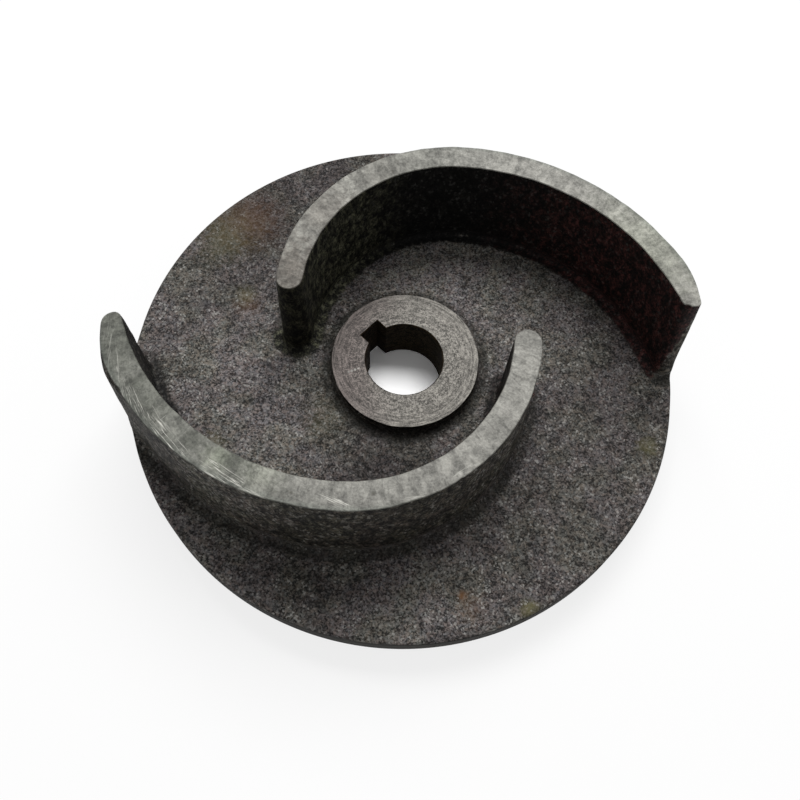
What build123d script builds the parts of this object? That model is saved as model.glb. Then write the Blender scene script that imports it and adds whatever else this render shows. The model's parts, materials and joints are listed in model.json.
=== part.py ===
from build123d import *
import os
from math import atan2, cos, degrees, hypot, radians, sin, tan

# Semi-open impeller of a centrifugal pump. It is one iron casting: a round back plate
# with a hub through its middle and tall curved vanes on its front. The rim and the vane
# ends are turned together, the vane tops and both hub faces are machined flat, and the
# bore has a keyway for the shaft's key.
# Origin: on the bore axis, in the rear hub face that seats on the shaft's shoulder.
# +Z points along the bore to the vanes, where the water comes in.

# Driving dimensions, in millimetres and degrees.

# Back plate
rim_radius = 70.0
plate_thickness = 6.5
rear_edge_chamfer = 0.6

# Hub, which stands out of the plate on both sides: as cast in front, turned behind
front_hub_radius = 18.9
front_hub_rise = 3.5
front_hub_draft = 5.0
front_hub_foot_chamfer = 1.5
rear_hub_radius = 20.0
rear_hub_rise = 5.0
rear_hub_chamfer = 0.8

# Bore and keyway, for a 20 mm shaft with a 6 mm key
bore_radius = 10.0
bore_chamfer = 0.25
key_width = 6.0
key_depth = 2.8
key_angle = 139.0

# Vanes. Each side of a vane is two arcs that meet where the vane runs along X. These are
# the sizes of its hollow side; the full side is one vane thickness further out.
vane_count = 2
vane_height = 30.0
vane_thickness = 6.5
vane_draft = 1.0
vane_root_radius = 1.5
arc_meeting_x = -12.4
arc_meeting_y = -42.4
inner_arc_radius = 37.5
inner_arc_sweep = 87.5
vane_end_angle = 184.0  # round the bore from +X to where the hollow side ends
vane_end_land = 4.1  # from there out to the rim
vane_end_rounding = 2.4

# Slack for telling edges apart by their place
place_tolerance = 0.001

# Heights above the rear hub face
plate_back = rear_hub_rise
plate_front = plate_back + plate_thickness
hub_front = plate_front + front_hub_rise
vane_top = plate_front + vane_height

# The hollow side's outer arc starts along X where the arcs meet and ends inside the rim.
hollow_end_radius = rim_radius - vane_end_land
hollow_end_run = arc_meeting_x - hollow_end_radius * cos(radians(vane_end_angle))
hollow_end_rise = hollow_end_radius * sin(radians(vane_end_angle)) - arc_meeting_y
outer_arc_radius = (hollow_end_run**2 + hollow_end_rise**2) / (2 * hollow_end_rise)
outer_arc_sweep = degrees(2 * atan2(hollow_end_rise, hollow_end_run))

# Centres of the vane's two arcs, and the direction from them to where the arcs meet
outer_arc_centre = (arc_meeting_x, arc_meeting_y + outer_arc_radius)
inner_arc_centre = (arc_meeting_x, arc_meeting_y + inner_arc_radius)
meeting_direction = -90.0

# The walls are drafted: a vane grows on both sides from top to foot, and so does the hub.
foot_growth = vane_height * tan(radians(vane_draft))
front_hub_foot = front_hub_radius + front_hub_rise * tan(radians(front_hub_draft))

# The raw casting reaches past the vanes' feet, and is turned down to the rim with them.
casting_radius = rim_radius + vane_thickness + 2 * foot_growth + vane_root_radius


def vane_section(height, growth):
    """A vane's section at a height, wider on both sides than its top by a growth."""
    hollow_outer_radius = outer_arc_radius - growth
    hollow_inner_radius = inner_arc_radius - growth
    width = vane_thickness + 2 * growth
    with BuildSketch(Plane.XY.offset(height)) as section:
        with BuildLine():
            hollow_outer = CenterArc(
                outer_arc_centre,
                hollow_outer_radius,
                meeting_direction - outer_arc_sweep,
                outer_arc_sweep,
            )
            hollow_inner = CenterArc(
                inner_arc_centre, hollow_inner_radius, meeting_direction, inner_arc_sweep
            )
            full_inner = CenterArc(
                inner_arc_centre,
                hollow_inner_radius + width,
                meeting_direction + inner_arc_sweep,
                -inner_arc_sweep,
            )
            full_outer = CenterArc(
                outer_arc_centre, hollow_outer_radius + width, meeting_direction, -outer_arc_sweep
            )
            TangentArc(hollow_inner @ 1, full_inner @ 0, tangent=hollow_inner % 1)
            Line(full_outer @ 1, hollow_outer @ 0)
        make_face()
    return section.sketch


def distance_from_axis(edge):
    """How far the middle of an edge lies from the bore axis."""
    middle = edge @ 0.5
    return hypot(middle.X, middle.Y)


def lies_at(height):
    """A test for edges that lie flat at a height."""
    return lambda edge: all(abs((edge @ place).Z - height) < place_tolerance for place in (0, 0.5, 1))


def edges_from_axis(height):
    """The impeller's edges that lie flat at a height, from the bore axis outwards."""
    return impeller.edges().filter_by(lies_at(height)).sort_by(distance_from_axis)


with BuildPart() as vane:
    loft([vane_section(plate_front, foot_growth), vane_section(vane_top, 0)], ruled=True)
    standing_edges = vane.edges().filter_by(lambda edge: edge.bounding_box().size.Z > vane_height / 2)
    hollow_end_corner = standing_edges.sort_by(distance_from_axis)[-2]
    fillet(hollow_end_corner, vane_end_rounding)

with BuildPart() as impeller:
    # Raw casting: plate with turning stock, both hub ends and the vanes.
    with BuildSketch(Plane.XZ):
        with BuildLine():
            Polyline(
                (0, 0),
                (rear_hub_radius, 0),
                (rear_hub_radius, plate_back),
                (casting_radius, plate_back),
                (casting_radius, plate_front),
                (front_hub_foot, plate_front),
                (front_hub_radius, hub_front),
                (0, hub_front),
                close=True,
            )
        make_face()
    revolve(axis=Axis.Z)
    chamfer(edges_from_axis(plate_front)[0], front_hub_foot_chamfer)
    with PolarLocations(0, vane_count):
        add(vane.part)
    vane_feet = edges_from_axis(plate_front)[1:-1]
    fillet(vane_feet, vane_root_radius)

    # The rim and the vane ends are turned to size in one cut.
    with BuildSketch(Plane.XY):
        Circle(rim_radius)
    extrude(amount=vane_top, mode=Mode.INTERSECT)
    chamfer(edges_from_axis(plate_back)[-1], rear_edge_chamfer)
    chamfer(edges_from_axis(0), rear_hub_chamfer)

    # Bore and keyway, cut right through, with their edges broken at both faces.
    with BuildSketch(Plane.XY):
        Circle(bore_radius)
        with PolarLocations(0, 1, start_angle=key_angle):
            Rectangle(bore_radius + key_depth, key_width, align=(Align.MIN, Align.CENTER))
    extrude(amount=hub_front, mode=Mode.SUBTRACT)
    bore_mouths = edges_from_axis(hub_front)[:-1] + edges_from_axis(0)[:-1]
    chamfer(bore_mouths, bore_chamfer)

os.makedirs("parts", exist_ok=True)
impeller.part.label = "impeller"
export_step(impeller.part, "parts/impeller.step")
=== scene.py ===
"""Semi-open pump impeller, sand-cast in grey iron: the casting's skin, its machined faces and their finishes."""

from __future__ import annotations

import json
import logging
import math
from collections.abc import Callable, Iterable, Sequence
from dataclasses import dataclass, field
from enum import Enum

import bmesh
import bpy
import numpy as np
from mathutils import Matrix, Vector, noise
from mathutils.geometry import delaunay_2d_cdt
from mathutils.kdtree import KDTree

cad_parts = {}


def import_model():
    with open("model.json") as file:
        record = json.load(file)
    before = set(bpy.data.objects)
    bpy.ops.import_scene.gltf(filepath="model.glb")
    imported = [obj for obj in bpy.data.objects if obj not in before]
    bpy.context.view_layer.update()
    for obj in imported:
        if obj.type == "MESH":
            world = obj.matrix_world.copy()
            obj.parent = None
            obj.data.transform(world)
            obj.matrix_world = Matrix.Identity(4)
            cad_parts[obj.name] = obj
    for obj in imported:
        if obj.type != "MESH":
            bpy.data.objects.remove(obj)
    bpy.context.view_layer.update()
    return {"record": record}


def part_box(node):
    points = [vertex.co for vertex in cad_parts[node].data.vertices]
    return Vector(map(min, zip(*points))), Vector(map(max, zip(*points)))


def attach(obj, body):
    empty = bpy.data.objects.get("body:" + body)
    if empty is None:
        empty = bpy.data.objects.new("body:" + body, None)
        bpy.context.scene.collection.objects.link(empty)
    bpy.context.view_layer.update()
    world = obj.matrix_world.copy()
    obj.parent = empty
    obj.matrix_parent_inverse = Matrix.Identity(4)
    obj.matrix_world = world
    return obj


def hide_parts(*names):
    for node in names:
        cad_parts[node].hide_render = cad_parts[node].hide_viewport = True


LOG = logging.getLogger("impeller")
MM = 0.001
CLOSE = 0.01  # mm
WELD_REACH = 0.004  # mm
BEND_BETWEEN_FINISHES = 28.0  # degrees
BEND_WITHIN_FINISH = 32.0  # degrees
STAIN_CORE, STAIN_RIM, STAIN_RAGGED = 0.55, 1.45, 1.1  # shares of a stain's reach

Points = np.ndarray


class Surface(Enum):
    """The surfaces of the casting, each with its own finish."""

    CAST_SKIN = 0
    VANE_TOP = 1
    HUB_FACE = 2
    TURNED_RIM = 3
    BORE = 4


def arc(centre: Sequence[float], radius: float, start: float, end: float, steps: int) -> Points:
    """Points along an arc.

    Args:
        centre: the arc's centre, in mm.
        radius: its radius, in mm.
        start: the angle at its first point, in degrees.
        end: the angle at its last point, in degrees.
        steps: how many steps there are between them.

    Returns:
        The points, one to a row.
    """
    angles = np.radians(np.linspace(start, end, steps + 1))
    return np.column_stack((centre[0] + radius * np.cos(angles), centre[1] + radius * np.sin(angles)))


def line(start: Sequence[float], end: Sequence[float], steps: int) -> Points:
    """Points along a straight line.

    Args:
        start: its first point, in mm.
        end: its last point, in mm.
        steps: how many steps there are between them.

    Returns:
        The points, one to a row.
    """
    share = np.linspace(0, 1, steps + 1)[:, None]
    return np.asarray(start) * (1 - share) + np.asarray(end) * share


def circle(radius: float, steps: int) -> Points:
    """Points once round the bore's axis, at a radius in mm."""
    return arc((0, 0), radius, 0, 360, steps)[:-1]


def lift(outline: Points, height: float) -> Points:
    """A flat outline raised to a height, in mm."""
    return np.column_stack((outline, np.full(len(outline), height)))


def turned(outline: Points, degrees: float) -> Points:
    """A flat outline turned about the bore's axis."""
    cos, sin = math.cos(math.radians(degrees)), math.sin(math.radians(degrees))
    return outline @ np.array(((cos, sin), (-sin, cos)))


def searched(places: Points) -> KDTree:
    """A search tree of flat places.

    Args:
        places: the places.

    Returns:
        The tree, which gives a place's index and how far away it is.
    """
    tree = KDTree(len(places))
    for k, place in enumerate(places):
        tree.insert((place[0], place[1], 0), k)
    tree.balance()
    return tree


def smooth_step(value: Points | float) -> Points | float:
    """A value from 0 to 1 eased at both ends."""
    held = np.clip(value, 0, 1)
    return held * held * (3 - 2 * held)


def placed(name: str, data: bpy.types.ID) -> bpy.types.Object:
    """A new object in the scene.

    Args:
        name: its name.
        data: its mesh, camera or lamp.

    Returns:
        The object.
    """
    made = bpy.data.objects.new(name, data)
    bpy.context.scene.collection.objects.link(made)
    return made


def run_along(path: Points) -> Points:
    """How far along a path each of its points lies, in mm."""
    return np.concatenate(((0.0,), np.cumsum(np.linalg.norm(np.diff(path, axis=0), axis=1))))


def directions(steps: Points) -> Points:
    """Steps, one to a row, each brought to a length of 1."""
    return steps / np.linalg.norm(steps, axis=1)[:, None]


def ease_corner(before: Points, after: Points, reach: float) -> tuple[Points, Points]:
    """Two paths that meet at a corner, with the corner rounded.

    Args:
        before: the path that ends at the corner.
        after: the path that starts at it.
        reach: how far from the corner the rounding starts, in mm.

    Returns:
        Both paths, with as many points as before.
    """
    if reach < CLOSE:
        return before, after
    back, ahead = run_along(before[::-1]), run_along(after)
    first = np.array([np.interp(reach, back, column) for column in before[::-1].T])
    last = np.array([np.interp(reach, ahead, column) for column in after.T])
    corner = before[-1]

    def bend(share: Points) -> Points:
        """Points on the rounding, at shares of it."""
        held = share[:, None]
        return first * (1 - held) ** 2 + 2 * held * (1 - held) * corner + last * held**2

    eased_before, eased_after = before[::-1].copy(), after.copy()
    eased_before[back < reach] = bend(0.5 * (1 - back[back < reach] / reach))
    eased_after[ahead < reach] = bend(0.5 * (1 + ahead[ahead < reach] / reach))
    return eased_before[::-1], eased_after


@dataclass(frozen=True)
class Nick:
    """A knock in an edge: its place, how far it reaches and how deep it goes, in mm."""

    place: tuple[float, float, float]
    reach: float
    depth: float


@dataclass(frozen=True)
class SandWave:
    """The unevenness that the sand mould leaves on the casting, in mm; it fades out towards a patch's outline."""

    waves: tuple[tuple[float, float], ...] = ((13.0, 0.12), (4.5, 0.12), (1.9, 0.08))
    fade: float = 2.0
    nicks: tuple[Nick, ...] = (
        Nick((66.6, 5.6, 41.5), 1.1, 0.7),
        Nick((67.9, 4.9, 41.5), 0.7, 0.5),
        Nick((-62.6, -24.6, 41.5), 1.2, 0.35),
        Nick((-65.2, -19.6, 41.5), 1.0, 0.3),
        Nick((13.6, -40.6, 41.5), 0.9, 0.25),
    )

    def at(self, places: Points) -> Points:
        """How far the skin stands out at each of some places.

        Args:
            places: the places, as rows of x, y and z.

        Returns:
            The distances, less where the skin is knocked in.
        """
        out = np.zeros(len(places))
        for length, size in self.waves:
            out += size * np.array([noise.noise(Vector(p) / length) for p in places])
        for nick in self.nicks:
            away = np.linalg.norm(places - np.asarray(nick.place), axis=1) / nick.reach
            out -= nick.depth * np.clip(1 - away**2, 0, 1) ** 2
        return out

    def roughen(self, outline: Points, height: float, outward: float) -> Points:
        """A flat outline made uneven.

        Args:
            outline: the outline.
            height: its height.
            outward: 1 where the iron lies to the right of the outline, -1 where to the left.

        Returns:
            The uneven outline.
        """
        along = directions(np.gradient(outline, axis=0))
        side = np.column_stack((-along[:, 1], along[:, 0])) * outward
        return outline + side * self.at(lift(outline, height))[:, None]


@dataclass
class Shell:
    """Points and faces of the casting's skin, gathered patch by patch, in mm."""

    points: list[Points] = field(default_factory=list)
    faces: list[Points] = field(default_factory=list)
    surfaces: list[Points] = field(default_factory=list)
    count: int = 0

    def add(self, points: Points, faces: Points, surface: Surface) -> None:
        """Adds one patch.

        Args:
            points: its points.
            faces: its faces, as rows of indices into its points.
            surface: the surface that it belongs to.
        """
        self.points.append(points)
        self.faces.append(faces + self.count)
        self.surfaces.append(np.full(len(faces), surface.value))
        self.count += len(points)

    def grid(self, rows: Sequence[Points], surface: Surface, closed: bool) -> None:
        """Adds a patch that runs through rows of points.

        Args:
            rows: the rows, with as many points each.
            surface: the surface that the patch belongs to.
            closed: whether each row closes on itself.
        """
        width = len(rows[0])
        column = np.arange(width if closed else width - 1)
        beside = (column + 1) % width
        strip = np.column_stack((column, beside, beside + width, column + width))
        faces = [strip + k * width for k in range(len(rows) - 1)]
        self.add(np.vstack(rows), np.vstack(faces), surface)

    def fill(
        self,
        outline: Points,
        hole: Points | None,
        height: float,
        spacing: float,
        surface: Surface,
        sand: SandWave | None = None,
    ) -> None:
        """Adds a flat patch with an even spread of points inside its outline.

        Args:
            outline: its closed outline, flat.
            hole: the closed outline of the hole in it, or None.
            height: its height.
            spacing: how far its inner points lie apart.
            surface: the surface that it belongs to.
            sand: the unevenness of its inside, or None where it is machined flat.
        """
        loops = [outline] if hole is None else [outline, hole]
        border = np.vstack(loops)
        near = searched(border)
        low, high = border.min(0), border.max(0)
        across = np.arange(low[0], high[0], spacing)
        along = np.arange(low[1], high[1], spacing * math.sqrt(0.75))
        grid_x, grid_y = np.meshgrid(across, along)
        grid_x[1::2] += spacing / 2
        inner = np.column_stack((grid_x.ravel(), grid_y.ravel()))
        inner = inner[self.holds(loops, inner)]
        away = np.array([near.find((x, y, 0))[2] for x, y in inner])
        clear = away > 0.6 * spacing
        inner, away = inner[clear], away[clear]
        places = np.vstack((border, inner))
        edges, first = [], 0
        for loop in loops:
            edges += [(first + k, first + (k + 1) % len(loop)) for k in range(len(loop))]
            first += len(loop)
        found = delaunay_2d_cdt([Vector(p) for p in places], edges, [], 1, 1e-6)
        origin = np.array([own[0] if own else -1 for own in found[3]])
        faces = origin[np.array(found[2])]
        points = lift(places, height)
        if sand is not None:
            points[len(border) :, 2] += sand.at(points[len(border) :]) * smooth_step(away / sand.fade)
        self.add(points, faces[self.holds(loops, places[faces].mean(1))], surface)

    @staticmethod
    def holds(loops: Sequence[Points], places: Points) -> Points:
        """Which flat places lie inside closed outlines and outside the holes in them.

        Args:
            loops: the closed outlines, holes among them.
            places: the places.

        Returns:
            True for each place that lies on the patch.
        """
        found = np.zeros(len(places), bool)
        for loop in loops:
            for start, end in zip(loop, np.roll(loop, -1, 0)):
                if start[1] == end[1]:
                    continue
                spans = (places[:, 1] >= min(start[1], end[1])) & (places[:, 1] < max(start[1], end[1]))
                at = start[0] + (places[:, 1] - start[1]) * (end[0] - start[0]) / (end[1] - start[1])
                found ^= spans & (places[:, 0] < at)
        return found


@dataclass
class VaneShape:
    """A vane's section: each side is two arcs, which meet where the vane runs along X. Sizes in mm and degrees."""

    rim_radius: float
    thickness: float = 6.5
    draft: float = 1.0
    root_radius: float = 1.5
    meeting_x: float = -12.4
    meeting_y: float = -42.4
    inner_arc_radius: float = 37.5
    inner_arc_sweep: float = 87.5
    end_angle: float = 184.0
    end_land: float = 4.1
    end_rounding: float = 2.4
    end_lean: float = 0.14
    flare: float = 0.0
    flare_start: float = 0.0
    flare_end: float = 15.5
    flare_bevel: float = 2.2
    rim_corner_easing: float = 4.0
    end_corner_easing: float = 1.0
    flare_bevel_start: float = 0.35
    # soot together with the painted shade of the hollow, both darkening it
    soot: float = 1.0
    points_clear_of_soot_and_shade: int = 7
    soot_and_shade_rise_points: int = 5
    soot_and_shade_past_hollow: int = 24
    soot_and_shade_fade: int = 12
    step: float = 0.75
    flat_steps: int = 5
    corner_steps: int = 6
    nose_steps: int = 16
    full_side_points: int = 93
    fine_points: int = 600
    full_bend_share: float = 1.17

    def __post_init__(self) -> None:
        """Works out the outer arc, which starts where the arcs meet and ends inside the rim."""
        end_radius = self.rim_radius - self.end_land
        run = self.meeting_x - end_radius * math.cos(math.radians(self.end_angle))
        rise = end_radius * math.sin(math.radians(self.end_angle)) - self.meeting_y
        self.outer_arc_radius = (run**2 + rise**2) / (2 * rise)
        self.outer_arc_sweep = math.degrees(2 * math.atan2(rise, run))
        self.outer_centre = np.array((self.meeting_x, self.meeting_y + self.outer_arc_radius))
        self.inner_centre = np.array((self.meeting_x, self.meeting_y + self.inner_arc_radius))
        end = math.radians(-90 - self.outer_arc_sweep)
        self.end_line = np.array((math.cos(end), math.sin(end)))
        self.end_normal = np.array((math.sin(end), -math.cos(end)))

    def steps(self, radius: float, sweep: float) -> int:
        """How many steps an arc of a radius and sweep gets."""
        return max(2, round(radius * math.radians(abs(sweep)) / self.step))

    def line_to_rim(self, offset: float) -> Points:
        """Where the end's flat meets the rim.

        Args:
            offset: how far the flat is moved out.

        Returns:
            The point.
        """
        start = self.outer_centre + self.end_normal * offset
        along = float(start @ self.end_line)
        reach = -along + math.sqrt(along**2 - float(start @ start) + self.rim_radius**2)
        return start + self.end_line * reach

    def full_side_end(self, radius: float) -> float:
        """Where the full side meets the rim.

        Args:
            radius: the full side's radius, in mm.

        Returns:
            The angle round the outer arc's centre, in degrees.
        """
        away = float(np.linalg.norm(self.outer_centre))
        bearing = math.degrees(math.atan2(self.outer_centre[1], self.outer_centre[0]))
        opening = (self.rim_radius**2 - away**2 - radius**2) / (2 * away * radius)
        return bearing + math.degrees(math.acos(opening)) - 360

    def sooty_and_shaded(self, count: int) -> Points:
        """How strongly the points of an outline take soot and the painted shade of the hollow.

        Args:
            count: how many points it has.

        Returns:
            The strengths: full in the hollow and round the nose, little on the end's flat and none on the full side.
        """
        arcs = ((self.outer_arc_radius, self.outer_arc_sweep), (self.inner_arc_radius, self.inner_arc_sweep))
        hollow_end = self.flat_steps + self.corner_steps + sum(self.steps(*each) for each in arcs)
        k = np.arange(count)
        before_full_side = smooth_step((hollow_end + self.soot_and_shade_past_hollow - k) / self.soot_and_shade_fade)
        return self.soot * before_full_side * smooth_step((k - self.points_clear_of_soot_and_shade) / self.soot_and_shade_rise_points)

    def full_side(self, radius: float, drop: float) -> Points:
        """The outer arc of the full side, from where the arcs meet to the rim.

        Args:
            radius: its radius, in mm.
            drop: how far below the vane's top it lies, in mm.

        Returns:
            Its points, on the flare where the vane has one.
        """
        end = self.full_side_end(radius)
        swell = self.flare * smooth_step((drop + self.flare_bevel_start) / self.flare_bevel)

        def path(angles: Points) -> Points:
            """Points on the full side.

            Args:
                angles: their angles round the outer arc's centre, in degrees.

            Returns:
                The points.
            """
            run = radius * np.radians(angles - end)
            share = 1 - smooth_step((run - self.flare_start) / (self.flare_end - self.flare_start))
            reach = (radius + swell * share)[:, None]
            return self.outer_centre + reach * np.column_stack((np.cos(np.radians(angles)), np.sin(np.radians(angles))))

        fine = np.linspace(-90, end, self.fine_points)
        beyond = np.linalg.norm(path(fine), axis=1) - self.rim_radius
        outside = np.flatnonzero(beyond > 0)
        last = end
        if swell > 0 and len(outside):
            k = outside[0]
            last = fine[k - 1] + (fine[k] - fine[k - 1]) * beyond[k - 1] / (beyond[k - 1] - beyond[k])
        return path(np.linspace(-90, last, self.full_side_points))

    def outline(self, growth: float, foot: float, drop: float) -> Points:
        """The vane's outline from the rim round its nose and back to the rim.

        Args:
            growth: how much wider than at its top the draft makes it on each side.
            foot: how far the root's fillet spreads past that, on the end's flat too.
            drop: how far below the vane's top it lies.

        Returns:
            The points of the outline, open where the rim cuts it.
        """
        hollow = self.outer_arc_radius - growth - foot
        lean = self.end_lean * drop
        corner_radius = self.end_rounding + foot
        corner_reach = self.outer_arc_radius - growth + self.end_rounding
        corner_in = self.end_rounding - lean
        corner_along = math.sqrt(corner_reach**2 - corner_in**2)
        corner = self.outer_centre + self.end_line * corner_along - self.end_normal * corner_in
        bearing = math.degrees(math.atan2(*(corner - self.outer_centre)[::-1]))
        flat_end = math.degrees(math.atan2(self.end_normal[1], self.end_normal[0]))
        arc_end = -90 + self.inner_arc_sweep
        wide = self.thickness + growth + foot
        nose = arc(self.inner_centre, self.inner_arc_radius + self.thickness / 2, arc_end, arc_end, 0)[0]
        inner_steps = self.steps(self.inner_arc_radius, self.inner_arc_sweep)
        full_bend_steps = round(inner_steps * self.full_bend_share)
        back_in = bearing + 180 if bearing < 0 else bearing - 180
        bearing = bearing if bearing < 0 else bearing - 360
        parts = [
            line(self.line_to_rim(foot + lean), corner + self.end_normal * corner_radius, self.flat_steps),
            arc(corner, corner_radius, flat_end, back_in, self.corner_steps),
            arc(self.outer_centre, hollow, bearing, -90, self.steps(self.outer_arc_radius, self.outer_arc_sweep)),
            arc(self.inner_centre, self.inner_arc_radius - growth - foot, -90, arc_end, inner_steps),
            arc(nose, self.thickness / 2 + growth + foot, arc_end + 180, arc_end, self.nose_steps),
            arc(self.inner_centre, self.inner_arc_radius + wide, arc_end, -90, full_bend_steps),
            self.full_side(self.outer_arc_radius + wide, drop),
        ]
        return np.vstack([parts[0]] + [part[1:] for part in parts[1:]])


@dataclass
class ImpellerCasting:
    """The whole casting: back plate, hub, two vanes, turned rim and keyed bore. Sizes in mm."""

    rim_radius: float
    vane_top: float
    bore_radius: float
    hub_front: float
    plate_back: float = 5.0
    plate_front: float = 11.5
    rear_edge_chamfer: float = 0.6
    front_edge_rounding: float = 0.9
    front_hub_radius: float = 18.9
    front_hub_draft: float = 5.0
    front_hub_foot: float = 1.5
    hub_shift: tuple[float, float] = (0.3, 0.1)
    rear_hub_radius: float = 20.0
    rear_hub_chamfer: float = 0.8
    bore_chamfer: float = 0.25
    key_width: float = 6.0
    key_depth: float = 2.8
    key_angle: float = 139.0
    vane_count: int = 2
    vane_edge_drop: float = 0.2
    vane_edge_inset: float = 0.16
    easing_foot: float = 1.5
    easing_rise: float = 6.0
    rounding_fade: float = 7.0
    rim_rows: int = 7
    wall_rows: int = 38
    bore_rows: int = 18
    end_steps: int = 24
    hub_steps: int = 180
    rear_steps: int = 120
    spacing: float = 0.75
    back_spacing: float = 1.4
    seat_spacing: float = 1.0
    # how far the soot and painted shade of the hollows reach on to the plate
    soot_and_shade_height: float = 0.45
    soot_and_shade_reach: float = 2.2
    # how far the painted shade and dirt at the roots reach
    root_height: float = 0.5
    root_reach: float = 2.4
    root_flatness: float = 0.8
    unmarked_depth: float = 0.6

    def build(self) -> bpy.types.Object:
        """Builds the casting's skin as one closed mesh.

        Returns:
            The object, in metres, in the part's frame.
        """
        self.vanes = (
            VaneShape(self.rim_radius, end_lean=0.063, flare=2.3, end_corner_easing=2.8, soot=0.6),
            VaneShape(self.rim_radius),
        )
        self.shell = Shell()
        self.sand = SandWave()
        self.lay_vanes()
        self.lay_rim()
        self.lay_plate()
        self.lay_hub()
        self.lay_bore()
        return self.weld("impeller_casting")

    def profile(self, vane: VaneShape) -> list[tuple[float, float, float]]:
        """A vane's wall from top to foot.

        Args:
            vane: the vane.

        Returns:
            Its rows, as growth by draft, spread of the root's fillet, and height.
        """
        radius = vane.root_radius
        slope = math.tan(math.radians(vane.draft))
        heights = np.linspace(self.vane_top - self.vane_edge_drop, self.plate_front + radius, self.wall_rows)
        rows = [((self.vane_top - z) * slope, 0.0, z) for z in heights]
        growth = rows[-1][0]
        for angle in np.radians(np.linspace(0, 90, 6)[1:]):
            spread, drop = radius * (1 - math.cos(angle)), radius * (1 - math.sin(angle))
            rows.append((growth, spread, self.plate_front + drop))
        return rows

    def lay_vanes(self) -> None:
        """Lays each vane's top, walls and turned end."""
        self.feet: list[Points] = []
        for k, vane in enumerate(self.vanes):
            walls, ends = [], []
            rows = self.profile(vane)
            heights = [row[2] for row in rows]
            for growth, spread, z in rows:
                smooth = turned(vane.outline(growth, spread, self.vane_top - z), 360 * k / self.vane_count)
                wall = self.sand.roughen(smooth, z, 1)
                wall[0] *= self.rim_radius / np.linalg.norm(wall[0])
                wall[-1] *= self.rim_radius / np.linalg.norm(wall[-1])
                end = self.rim_arc(wall[-1], wall[0], self.end_steps)
                above_foot = z - self.plate_front - self.easing_foot
                clear_of_foot = float(smooth_step(above_foot / self.easing_rise))
                wall, end = ease_corner(wall, end, vane.rim_corner_easing * clear_of_foot)
                end, wall = ease_corner(end, wall, vane.end_corner_easing * clear_of_foot)
                walls.append(wall)
                ends.append(end)
            self.shell.grid([lift(w, z) for w, z in zip(walls, heights)], Surface.CAST_SKIN, False)
            self.shell.grid([lift(e, z) for e, z in zip(ends, heights)], Surface.TURNED_RIM, False)
            edge = np.vstack((walls[0], ends[0][1:-1]))
            inset = self.inset(edge, self.vane_edge_inset)
            self.shell.grid([lift(inset, self.vane_top), lift(edge, heights[0])], Surface.VANE_TOP, True)
            self.shell.fill(inset, None, self.vane_top, self.spacing, Surface.VANE_TOP)
            self.feet.append(walls[-1])

    def rim_arc(self, start: Points, end: Points, steps: int) -> Points:
        """Points round the rim, the short way.

        Args:
            start: the point on the rim that they start at.
            end: the one that they end at.
            steps: how many steps there are between them.

        Returns:
            The points.
        """
        first, last = math.atan2(start[1], start[0]), math.atan2(end[1], end[0])
        turn = (last - first + math.pi) % (2 * math.pi) - math.pi
        middle = arc((0, 0), self.rim_radius, math.degrees(first), math.degrees(first + turn), steps)
        middle[0], middle[-1] = start, end
        return middle

    @staticmethod
    def inset(loop: Points, depth: float) -> Points:
        """A clockwise closed outline drawn in by a depth."""
        along = directions(np.roll(loop, -1, 0) - np.roll(loop, 1, 0))
        return loop + depth * np.column_stack((along[:, 1], -along[:, 0]))

    def lay_rim(self) -> None:
        """Lays the rim's turned wall with its front rounding and its rear chamfer."""
        angles, rounding = [], []
        self.plate_edge: list[Points] = []
        step = math.degrees(self.spacing / self.rim_radius)
        for k in range(self.vane_count):
            taken = self.foot_bearings(self.feet[k])
            low = taken[-1]
            high = low + (self.foot_bearings(self.feet[(k + 1) % self.vane_count])[0] - low) % 360
            free = np.linspace(low, high, round((high - low) / step) + 1)
            fade = smooth_step(np.minimum(free - low, high - free) / self.rounding_fade)
            angles += [taken[:-1], free[:-1]]
            rounding += [np.zeros(len(taken) - 1), (self.front_edge_rounding * fade)[:-1]]
            edge_radius = (self.rim_radius - self.front_edge_rounding * fade)[:, None]
            self.plate_edge.append(edge_radius * arc((0, 0), 1.0, low, high, len(free) - 1))
        round_angles, radius = np.radians(np.concatenate(angles)), np.concatenate(rounding)
        ring = np.column_stack((np.cos(round_angles), np.sin(round_angles)))
        rows = []
        chamfer = self.rear_edge_chamfer
        self.rear_edge = ring * (self.rim_radius - chamfer)
        rows.append(lift(self.rear_edge, self.plate_back))
        rows.append(lift(ring * self.rim_radius, self.plate_back + chamfer))
        body = self.plate_front - self.plate_back - chamfer
        for share in np.linspace(0, 1, self.rim_rows)[1:]:
            height = self.plate_back + chamfer + share * (body - radius)
            rows.append(np.column_stack((ring * self.rim_radius, height)))
        wall = len(rows) + 1
        for angle in np.radians(np.linspace(0, 90, 5)[1:]):
            inward = self.rim_radius - radius * (1 - math.cos(angle))
            rows.append(np.column_stack((ring * inward[:, None], self.plate_front - radius * (1 - math.sin(angle)))))
        self.shell.grid(rows[:wall], Surface.TURNED_RIM, True)
        self.shell.grid(rows[wall - 1 :], Surface.CAST_SKIN, True)

    def foot_bearings(self, foot: Points) -> Points:
        """Where a vane's foot runs along the rim.

        Args:
            foot: the foot's outline, open at the rim.

        Returns:
            The bearings of its points there, in degrees, rising.
        """
        end = self.rim_arc(foot[-1], foot[0], self.end_steps)
        bearings = np.degrees(np.arctan2(end[:, 1], end[:, 0]))
        return np.sort(bearings[0] + (bearings - bearings[0] + 180) % 360 - 180)

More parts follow.
